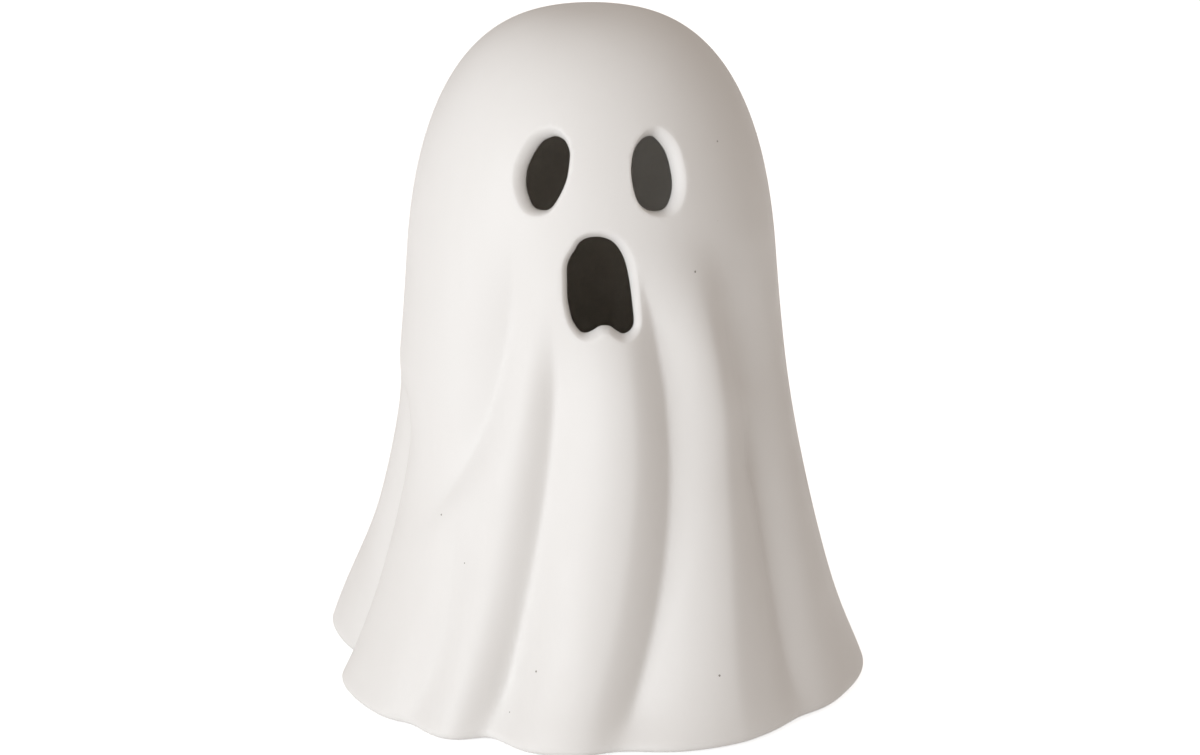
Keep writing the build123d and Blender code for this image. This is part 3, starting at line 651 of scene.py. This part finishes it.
def shell_mesh(shape, face):
    """The fired shell as one closed mesh."""
    parts = MeshParts()
    azimuths = -180.0 + 360.0 * np.arange(shape.columns) / shape.columns
    hem = []
    for angle in np.linspace(0.0, pi / 2, HEM_RINGS, endpoint=False):
        height = shape.hem_round * (1 - cos(angle))
        draw_in = shape.hem_round * (1 - sin(angle))
        hem.append(parts.add(skin_points(shape, azimuths, height, draw_in=draw_in)))
    skin = Wall(parts, shape, azimuths, 0.0, shape.hem_round, shape.row_step)
    cavity = Wall(parts, shape, azimuths, shape.wall, shape.floor, shape.cavity_step)

    skin_rims, cavity_rims = [], []
    for opening in face_openings(shape, face):
        rings = [parts.add(ring) for ring in opening.rim_rings()]
        parts.tube(rings, outer=ROLL_RINGS + 1)
        skin_rims.append((rings[0], *opening.on_skin(opening.reach)))
        last = np.array([parts.points[i] for i in rings[-1]])
        azimuth = np.degrees(np.arctan2(last[:, 0] - shape.lean, -last[:, 1]))
        cavity_rims.append((rings[-1], azimuth, last[:, 2] - HEM_LEVEL))

    skin.build(skin_rims, SKIN_WINDOW_TOP, SKIN_RIM_GAP)
    parts.tube(hem + skin.grid[:1])
    parts.fan(skin.grid[-1], skin.crown)
    cavity.build(cavity_rims, CAVITY_WINDOW_TOP, CAVITY_RIM_GAP)
    parts.fan(cavity.grid[-1], cavity.crown, inside=True)

    turned = np.radians(azimuths)
    under = [parts.add(level_ring(radius, height, turned)) for radius, height in underside_profile(shape)]
    rings = [hem[0]] + under + [cavity.grid[0]]
    for k in range(len(rings) - 1):
        parts.band(rings[k], rings[k + 1], inside=k > 0)
    return parts


# Materials

class Graph:
    """Nodes of a material or a world."""

    def __init__(self, owner):
        owner.use_nodes = True
        self.tree = owner.node_tree

    def feed(self, node, inputs):
        """Gives each input of a node its value, or leads another node's output to it."""
        for socket, value in inputs.items():
            if isinstance(value, bpy.types.NodeSocket):
                self.tree.links.new(value, node.inputs[socket])
            else:
                node.inputs[socket].default_value = value

    def node(self, kind, inputs=None, **settings):
        made = self.tree.nodes.new(kind)
        for key, value in settings.items():
            setattr(made, key, value)
        self.feed(made, inputs or {})
        return made

    def maths(self, operation, first, second):
        return self.node("ShaderNodeMath", {0: first, 1: second}, operation=operation).outputs["Value"]

    def blend(self, factor, first, second):
        """A shader that goes from the first to the second with a factor."""
        return self.node("ShaderNodeMixShader", {0: factor, 1: first, 2: second}).outputs["Shader"]

    def ramp(self, factor, stops):
        """Colours by a factor, from stops of place and colour."""
        made = self.node("ShaderNodeValToRGB", {"Fac": factor})
        for element, (at, rgb) in zip(made.color_ramp.elements, stops):
            element.position = at
            element.color = (*rgb, 1.0)
        return made.outputs["Color"]


class Finish(Graph):
    """A node material with its shader and object coordinates at hand."""

    def __init__(self, name):
        self.material = bpy.data.materials.new(name)
        super().__init__(self.material)
        self.shader = self.tree.nodes["Principled BSDF"]
        self.coords = self.node("ShaderNodeTexCoord").outputs["Object"]

    def set(self, **inputs):
        """Feeds the shader, with underscores for the spaces in its sockets' names, and gives the material."""
        self.feed(self.shader, {socket.replace("_", " "): value for socket, value in inputs.items()})
        return self.material

    def noise(self, scale, detail=3.0, roughness=0.55, stretch=None):
        """Noise in metres, drawn out along the axes by stretch."""
        source = self.coords
        if stretch:
            source = self.node("ShaderNodeMapping", {"Vector": source, "Scale": stretch}).outputs["Vector"]
        inputs = {"Vector": source, "Scale": scale, "Detail": detail, "Roughness": roughness}
        return self.node("ShaderNodeTexNoise", inputs).outputs["Fac"]

    def span(self, factor, low, high):
        """The usual range of a noise turned into low to high."""
        usual = {"From Min": NOISE_LOW, "From Max": NOISE_HIGH}
        inputs = {"Value": factor, "To Min": low, "To Max": high, **usual}
        return self.node("ShaderNodeMapRange", inputs).outputs["Result"]

    def mix(self, factor, first, rgb):
        """A colour that a factor mixes into another output."""
        inputs = {"Factor": factor, "A": first, "B": (*rgb, 1.0)}
        return self.node("ShaderNodeMix", inputs, data_type="RGBA").outputs["Result"]

    def bump(self, height, distance, strength, over=None):
        """Relief of a few hundredths of a millimetre, on top of another where one is given."""
        inputs = {"Height": height, "Distance": distance, "Strength": strength}
        if over is not None:
            inputs["Normal"] = over
        return self.node("ShaderNodeBump", inputs).outputs["Normal"]

    def drift(self, low, high, scale, stretch=None):
        """A colour that drifts between two shades."""
        noise = self.noise(scale, detail=4.0, stretch=stretch)
        return self.ramp(noise, ((DRIFT_LOW, low), (DRIFT_HIGH, high)))

    def sheen(self, scale, low, high):
        """A roughness that drifts between two values."""
        return self.span(self.noise(scale), low, high)

    def grain(self, scale, distance, strength, detail=2.0):
        """Fine relief of the surface."""
        return self.bump(self.noise(scale, detail), distance, strength)


def shade(rgb, factor):
    return tuple(channel * factor for channel in rgb)


def glazed_ceramic(finish):
    """Satin white glaze with a few iron specks and the faint wipe marks of the casting."""
    made = Finish("satin_ceramic")
    glaze = made.drift(finish.glaze_shade, finish.glaze, scale=22.0, stretch=(1.0, 1.0, 0.35))
    cells = made.node("ShaderNodeTexVoronoi", {"Vector": made.coords, "Scale": finish.speck_cells}).outputs
    pick = made.node("ShaderNodeSeparateColor", {"Color": cells["Color"]}).outputs["Red"]
    near = made.maths("LESS_THAN", cells["Distance"], finish.speck_radius)
    rare = made.maths("GREATER_THAN", pick, finish.speck_rarity)
    grain = made.grain(scale=1500.0, distance=0.06 * MM, strength=0.35)
    wipes = made.noise(scale=75.0, detail=3.0, roughness=0.5, stretch=(1.0, 1.0, 0.3))
    return made.set(
        Base_Color=made.mix(made.maths("MULTIPLY", near, rare), glaze, finish.speck),
        Roughness=made.sheen(scale=90.0, low=finish.roughness - 0.05, high=finish.roughness + 0.07),
        Normal=made.bump(wipes, distance=0.5 * MM, strength=0.22, over=grain),
        Specular_IOR_Level=0.35,
    )


def bare_ceramic(finish):
    """Unglazed fired body inside and under the shell."""
    made = Finish("bare_ceramic")
    return made.set(
        Base_Color=made.drift(finish.bisque_shade, finish.bisque, scale=35.0),
        Roughness=made.sheen(scale=120.0, low=0.78, high=0.9),
        Normal=made.grain(scale=900.0, distance=0.1 * MM, strength=0.4, detail=3.0),
        Specular_IOR_Level=0.2,
    )


def moulded_plastic(name, rgb, roughness, grain=1400.0, clear=0.0):
    """Moulded plastic with a fine eroded grain, milky where it is a little clear."""
    made = Finish(name)
    return made.set(
        Base_Color=made.drift(shade(rgb, 0.96), rgb, scale=40.0),
        Roughness=made.sheen(scale=160.0, low=roughness - 0.06, high=roughness + 0.06),
        Normal=made.grain(scale=grain, distance=0.04 * MM, strength=0.5),
        Specular_IOR_Level=0.4,
        Transmission_Weight=clear,
    )


def soft_rubber(name, rgb):
    """Silicone or insulation with a soft dull skin."""
    made = Finish(name)
    return made.set(
        Base_Color=made.drift(shade(rgb, 0.93), rgb, scale=60.0),
        Roughness=made.sheen(scale=300.0, low=0.62, high=0.75),
        Normal=made.grain(scale=2000.0, distance=0.03 * MM, strength=0.4),
        Specular_IOR_Level=0.3,
    )


def pressed_felt(rgb):
    """Pressed felt: tangled fibres in two shades."""
    made = Finish("pressed_felt")
    fibre = made.noise(scale=1600.0, detail=6.0, roughness=0.75)
    return made.set(
        Base_Color=made.ramp(fibre, ((0.35, shade(rgb, 0.72)), (0.68, shade(rgb, 1.18)))),
        Normal=made.bump(fibre, distance=0.3 * MM, strength=0.8),
        Roughness=0.95,
        Specular_IOR_Level=0.1,
        Sheen_Weight=0.3,
    )


def drawn_metal(name, rgb, roughness, stretch):
    """Plated metal with fine drawing lines."""
    made = Finish(name)
    lines = made.noise(scale=900.0, detail=3.0, roughness=0.6, stretch=stretch)
    return made.set(
        Base_Color=made.ramp(lines, ((DRIFT_LOW, shade(rgb, 0.86)), (DRIFT_HIGH, rgb))),
        Roughness=made.span(lines, low=roughness - 0.08, high=roughness + 0.1),
        Normal=made.bump(lines, distance=0.02 * MM, strength=0.4),
        Metallic=1.0,
    )


def cell_sleeve(rgb, metal, node):
    """Plain dark film on a cell, with bare steel at both ends."""
    low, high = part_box(node)
    made = Finish("cell_sleeve_" + node[-1])
    place_along = made.node("ShaderNodeSeparateXYZ", {"Vector": made.coords}).outputs["X"]
    span = {"Value": place_along, "From Min": low[0], "From Max": high[0]}
    along = made.node("ShaderNodeMapRange", span).outputs["Result"]
    ends = made.node("ShaderNodeValToRGB", {"Fac": along})
    ends.color_ramp.interpolation = "CONSTANT"
    stops = ends.color_ramp.elements
    stops[0].position, stops[0].color = 0.0, WHITE
    stops[1].position, stops[1].color = BARE_END, BLACK
    stops.new(1.0 - BARE_END).color = WHITE
    bare = ends.outputs["Color"]
    return made.set(
        Base_Color=made.mix(bare, made.drift(rgb, shade(rgb, 1.6), scale=180.0), metal),
        Roughness=made.sheen(scale=260.0, low=0.28, high=0.42),
        Normal=made.grain(scale=500.0, distance=0.03 * MM, strength=0.3),
        Metallic=bare,
    )


def solder_mask(rgb):
    """Circuit board with the weave of the laminate under its mask."""
    made = Finish("solder_mask")
    weave = made.node("ShaderNodeTexBrick", {"Vector": made.coords, "Scale": 700.0})
    for socket, factor in (("Color1", 0.9), ("Color2", 1.15), ("Mortar", 0.7)):
        weave.inputs[socket].default_value = (*shade(rgb, factor), 1.0)
    return made.set(
        Base_Color=weave.outputs["Color"],
        Roughness=made.sheen(scale=200.0, low=0.3, high=0.42),
        Normal=made.bump(weave.outputs["Fac"], distance=0.03 * MM, strength=0.3),
    )


def lamp_resin(rgb):
    """Clear warm resin of the lamp."""
    made = Finish("lamp_resin")
    return made.set(
        Base_Color=made.drift(shade(rgb, 0.9), rgb, scale=300.0),
        Roughness=made.sheen(scale=400.0, low=0.05, high=0.12),
        Transmission_Weight=0.6,
        IOR=1.5,
    )


def dress(material, *nodes):
    """Gives CAD nodes a material."""
    for node in nodes:
        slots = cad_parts[node].data.materials
        slots.clear()
        slots.append(material)


# Pieces

class GHOST_OT_shell(bpy.types.Operator):
    """Cast the hollow ghost with its folds, rolled openings and floor"""

    bl_idname = "ghost.shell"
    bl_label = "Cast the shell"

    def execute(self, context):
        scene = context.scene
        parts = shell_mesh(scene.ghost_shape, scene.ghost_face)
        mesh = parts.build("ghost_shell")
        mesh.materials.append(glazed_ceramic(scene.ghost_ceramic))
        mesh.materials.append(bare_ceramic(scene.ghost_ceramic))
        mesh.polygons.foreach_set("material_index", [int(inside) for inside in parts.inside])
        place(mesh, "ghost", "ceramic_shell", slot="ceramic")
        return {"FINISHED"}


class GHOST_OT_pads(bpy.types.Operator):
    """Stick the felt pads under the floor"""

    bl_idname = "ghost.pads"
    bl_label = "Stick the felt pads"

    def execute(self, context):
        felt = pressed_felt(context.scene.ghost_fittings.felt)
        for node in sorted(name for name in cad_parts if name.startswith("foot_pad")):
            low, high = (np.array(corner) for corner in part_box(node))
            mesh = felt_pad(node.replace("foot", "felt"), low, high)
            mesh.materials.append(felt)
            pad = place(mesh, "ghost", node, slot="felt")
        return {"FINISHED"}


def felt_pad(name, low, high):
    """A die-cut felt disc with a soft, slightly ragged edge."""
    parts = MeshParts()
    middle = (low + high) / 2
    radius = (high[0] - low[0]) / 2
    thick = high[2] - low[2]
    turned = np.linspace(0.0, 2 * pi, FELT_COLUMNS, endpoint=False)
    waves = np.sin(FELT_LONG_WAVES * turned) * np.sin(FELT_SHORT_WAVES * turned + middle[0] * FELT_SHIFT)
    ragged = 1.0 - FELT_RAGGED * (1 + waves) / 2
    rings = []
    for share, level in FELT_PROFILE:
        rings.append(parts.add(level_ring(radius * share * ragged, low[2] + thick * level, turned, middle)))
    parts.tube(rings)
    under = parts.add([(middle[0], middle[1], low[2])])[0]
    top = parts.add([(middle[0], middle[1], high[2])])[0]
    parts.fan(rings[0], under, inside=True)
    parts.fan(rings[-1], top)
    return parts.build(name)


class GHOST_OT_grip_ring(bpy.types.Operator):
    """Fit the ribbed silicone ring on the cup"""

    bl_idname = "ghost.grip_ring"
    bl_label = "Fit the grip ring"

    def execute(self, context):
        low, high = (np.array(corner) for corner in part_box("grip_ring"))
        mesh = ribbed_ring("silicone_ring", high[0], low[2], high[2])
        mesh.materials.append(soft_rubber("silicone", context.scene.ghost_fittings.silicone))
        place(mesh, "light_unit", "grip_ring", slot="silicone")
        return {"FINISHED"}


def ribbed_ring(name, radius, low, high):
    """A ring whose outer face carries soft ribs."""
    parts = MeshParts()
    turned = np.linspace(0.0, 2 * pi, RING_COLUMNS, endpoint=False)
    levels = np.linspace(0.0, 1.0, RING_LEVELS)
    valleys = RIB_DEPTH * (1 - np.abs(np.sin(RIB_COUNT * pi * levels)))
    edges = RING_ROUND * np.abs(2 * levels - 1) ** RING_ROUND_POWER
    profile = [(reach, low + (high - low) * level) for reach, level in zip(radius - valleys - edges, levels)]
    inner = radius - RING_THICK + RING_FIT
    profile += [(inner, high), (inner, low)]
    rings = [parts.add(level_ring(reach, height, turned)) for reach, height in profile]
    parts.tube(rings + rings[:1])
    return parts.build(name)


class GHOST_OT_light_unit(bpy.types.Operator):
    """Finish the cup, the cover, the door and the dome of the light unit"""

    bl_idname = "ghost.light_unit"
    bl_label = "Finish the light unit"

    def execute(self, context):
        look = context.scene.ghost_fittings
        plastic = moulded_plastic("white_plastic", look.plastic, roughness=0.48)
        dress(plastic, "light_housing", "top_cover", "battery_door")
        frosted = moulded_plastic("frosted_plastic", look.frosted, roughness=0.55, grain=2200.0, clear=0.3)
        dress(frosted, "diffuser_dome")
        return {"FINISHED"}


class GHOST_OT_power(bpy.types.Operator):
    """Finish the cells and the contacts in the battery bay"""

    bl_idname = "ghost.power"
    bl_label = "Finish the battery bay"

    def execute(self, context):
        look = context.scene.ghost_fittings
        for node in ("battery_1", "battery_2"):
            dress(cell_sleeve(look.sleeve, look.metal, node), node)
        spring = drawn_metal("spring_steel", look.metal, roughness=0.3, stretch=(1.0, 0.1, 1.0))
        dress(spring, "positive_contact", "negative_contact", "bridge_contact", "led_leads")
        return {"FINISHED"}


class GHOST_OT_board(bpy.types.Operator):
    """Finish the circuit board, its parts and the screws"""

    bl_idname = "ghost.board"
    bl_label = "Finish the circuit board"

    def execute(self, context):
        look = context.scene.ghost_fittings
        dress(solder_mask(look.board), "circuit_board")
        dress(moulded_plastic("chip_resin", look.resin, roughness=0.6), "timer_chip", "resistors")
        can = drawn_metal("can_metal", look.metal, roughness=0.25, stretch=(1.0, 1.0, 0.1))
        dress(can, "capacitor")
        steel = drawn_metal("screw_steel", look.metal, roughness=0.35, stretch=(1.0, 1.0, 1.0))
        dress(steel, "board_screws", "cover_screws")
        dress(lamp_resin(look.lamp), "led_lens")
        return {"FINISHED"}


class GHOST_OT_switch(bpy.types.Operator):
    """Finish the slide switch and its wires"""

    bl_idname = "ghost.switch"
    bl_label = "Finish the switch"

    def execute(self, context):
        look = context.scene.ghost_fittings
        case = drawn_metal("switch_case", look.metal, roughness=0.32, stretch=(0.1, 1.0, 1.0))
        dress(case, "switch_body")
        dress(moulded_plastic("knob_plastic", look.knob, roughness=0.42), "switch_knob")
        dress(soft_rubber("wire_skin", look.wire), "switch_leads")
        return {"FINISHED"}


# Studio

def ground_material(rgb, lift):
    """Pale floor, white to the camera apart from the object's shadow, and clear from below."""
    material = bpy.data.materials.new("studio_ground")
    graph = Graph(material)
    graph.tree.nodes.clear()
    rays = graph.node("ShaderNodeLightPath").outputs
    seen = rays["Is Camera Ray"]
    for other in ("Is Glossy Ray", "Is Transmission Ray"):
        seen = graph.maths("MAXIMUM", seen, rays[other])
    grain = graph.node("ShaderNodeTexNoise", {"Scale": 60.0}).outputs["Fac"]
    tint = graph.ramp(grain, ((0.0, shade(rgb, 0.985)), (1.0, rgb)))
    matt = graph.node("ShaderNodeBsdfDiffuse", {"Color": tint}).outputs["BSDF"]
    glow = graph.node("ShaderNodeEmission", {"Color": WHITE, "Strength": lift}).outputs["Emission"]
    lifted = graph.node("ShaderNodeAddShader", {0: matt, 1: glow}).outputs["Shader"]
    front = graph.blend(seen, matt, lifted)
    back = graph.node("ShaderNodeNewGeometry").outputs["Backfacing"]
    clear = graph.node("ShaderNodeBsdfTransparent").outputs["BSDF"]
    graph.node("ShaderNodeOutputMaterial", {"Surface": graph.blend(back, front, clear)})
    return material


def studio_world(scene, rgb):
    """Soft warm room, pure white to the camera."""
    scene.world = bpy.data.worlds.new("studio_room")
    graph = Graph(scene.world)
    graph.tree.nodes.clear()
    seen = graph.node("ShaderNodeLightPath").outputs["Is Camera Ray"]
    room = graph.node("ShaderNodeBackground", {"Color": (*rgb, 1.0)}).outputs["Background"]
    white = graph.node("ShaderNodeBackground", {"Color": WHITE}).outputs["Background"]
    graph.node("ShaderNodeOutputWorld", {"Surface": graph.blend(seen, room, white)})


def round_about(azimuth, elevation, distance):
    """Step from the aim to a place round the object; azimuth 0 is in front of the face."""
    level = distance * cos(elevation)
    return Vector((level * sin(azimuth), -level * cos(azimuth), distance * sin(elevation)))


def look_from(item, aim, offset):
    """Sets a lamp or the camera at an offset from its aim, looking at it."""
    item.location = Vector(aim) + offset
    item.rotation_euler = (-offset).to_track_quat("-Z", "Y").to_euler()


def soft_light(studio, aim):
    """The large soft light in front of the object, on its left."""
    light = bpy.data.lights.new("key_light", "AREA")
    light.shape = "RECTANGLE"
    light.size = studio.key_width
    light.size_y = studio.key_tall
    light.energy = studio.key
    light.color = studio.key_tint
    lamp = put("key_light", light)
    look_from(lamp, aim, round_about(studio.key_azimuth, studio.key_elevation, studio.key_distance))


class GHOST_OT_stage(bpy.types.Operator):
    """Set up the floor, the soft light and the camera"""

    bl_idname = "ghost.stage"
    bl_label = "Set up the studio"

    def execute(self, context):
        scene = context.scene
        studio = scene.ghost_studio
        mesh = bpy.data.meshes.new("studio_floor")
        signs = ((-1, -1), (1, -1), (1, 1), (-1, 1))
        mesh.from_pydata([(x * FLOOR_REACH, y * FLOOR_REACH, 0.0) for x, y in signs], [], [(0, 1, 2, 3)])
        mesh.materials.append(ground_material(studio.ground, studio.ground_glow))
        floor = put("studio_floor", mesh)
        studio_world(scene, studio.room)
        aim = (0.0, 0.0, studio.target_height)
        soft_light(studio, aim)
        scene.view_settings.view_transform = "Standard"
        camera = bpy.data.cameras.new("photo_camera")
        camera.sensor_width = SENSOR_WIDTH
        camera.lens = studio.lens
        camera.shift_x = PHOTO_SHIFT_RIGHT / PHOTO_WIDTH
        camera.shift_y = PHOTO_SHIFT_UP / PHOTO_WIDTH
        eye = put("photo_camera", camera)
        look_from(eye, aim, round_about(studio.azimuth, studio.elevation, studio.distance))
        scene.camera = eye
        return {"FINISHED"}


class GHOST_PT_panel(bpy.types.Panel):
    """Sizes, colours and steps of the ghost lantern"""

    bl_idname = "GHOST_PT_panel"
    bl_label = "Ceramic ghost"
    bl_space_type = "VIEW_3D"
    bl_region_type = "UI"
    bl_category = "Ghost"

    def draw(self, context):
        scene = context.scene
        for group, title, cls in SETTINGS:
            box = self.layout.box()
            box.label(text=title)
            for name in cls.__annotations__:
                box.prop(getattr(scene, group), name)
        for step in STEPS:
            self.layout.operator(step.bl_idname)


SETTINGS = (
    ("ghost_shape", "Shape", GhostShape),
    ("ghost_face", "Face", FaceShape),
    ("ghost_ceramic", "Ceramic", CeramicFinish),
    ("ghost_fittings", "Fittings", FittingFinish),
    ("ghost_studio", "Studio", StudioSetup),
)
STEPS = (
    GHOST_OT_shell, GHOST_OT_pads, GHOST_OT_grip_ring, GHOST_OT_light_unit, GHOST_OT_power,
    GHOST_OT_board, GHOST_OT_switch, GHOST_OT_stage,
)


def register():
    for group, title, cls in SETTINGS:
        bpy.utils.register_class(cls)
        setattr(bpy.types.Scene, group, PointerProperty(type=cls))
    for cls in STEPS + (GHOST_PT_panel,):
        bpy.utils.register_class(cls)


def unregister():
    for cls in (GHOST_PT_panel,) + STEPS:
        bpy.utils.unregister_class(cls)
    for group, title, cls in SETTINGS:
        delattr(bpy.types.Scene, group)
        bpy.utils.unregister_class(cls)


def main():
    register()
    bpy.ops.ghost.shell()
    bpy.ops.ghost.pads()
    bpy.ops.ghost.grip_ring()
    bpy.ops.ghost.light_unit()
    bpy.ops.ghost.power()
    bpy.ops.ghost.board()
    bpy.ops.ghost.switch()
    bpy.ops.ghost.stage()


if __name__ == "__main__":
    main()
